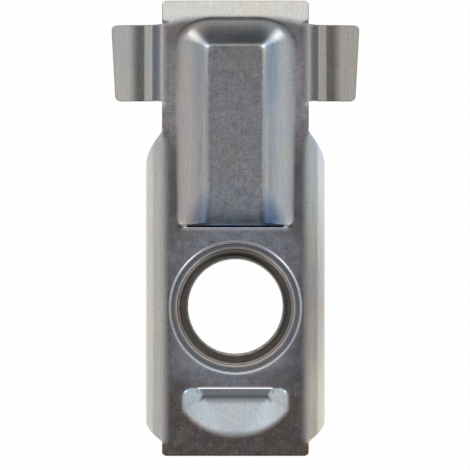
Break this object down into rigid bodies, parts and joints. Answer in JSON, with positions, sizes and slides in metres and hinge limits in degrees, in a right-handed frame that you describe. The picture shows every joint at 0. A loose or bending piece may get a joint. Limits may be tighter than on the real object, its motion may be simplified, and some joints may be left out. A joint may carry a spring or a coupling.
{
  "type": "cage nut",
  "caption": "Square nut held loose in a folded, zinc-plated sheet steel cage with stepped spring ears, a pressed recess and a half-moon stop.",
  "frame": {"origin": "middle of the part's box, on the ground under the turned-in lips", "axes": "+Z out of the bearing face, along the thread; +Y along the plate towards the ears and the top lip; +X to the right seen from the front"},
  "size_m": [0.018, 0.0326, 0.0068],
  "materials": {
    "cage_zinc": "zinc plated sheet steel, blue passivated",
    "nut_zinc": "zinc plated steel"
  },
  "bodies": {
    "root": {"cage": "cage_zinc", "nut": "nut_zinc"}
  },
  "joints": []
}
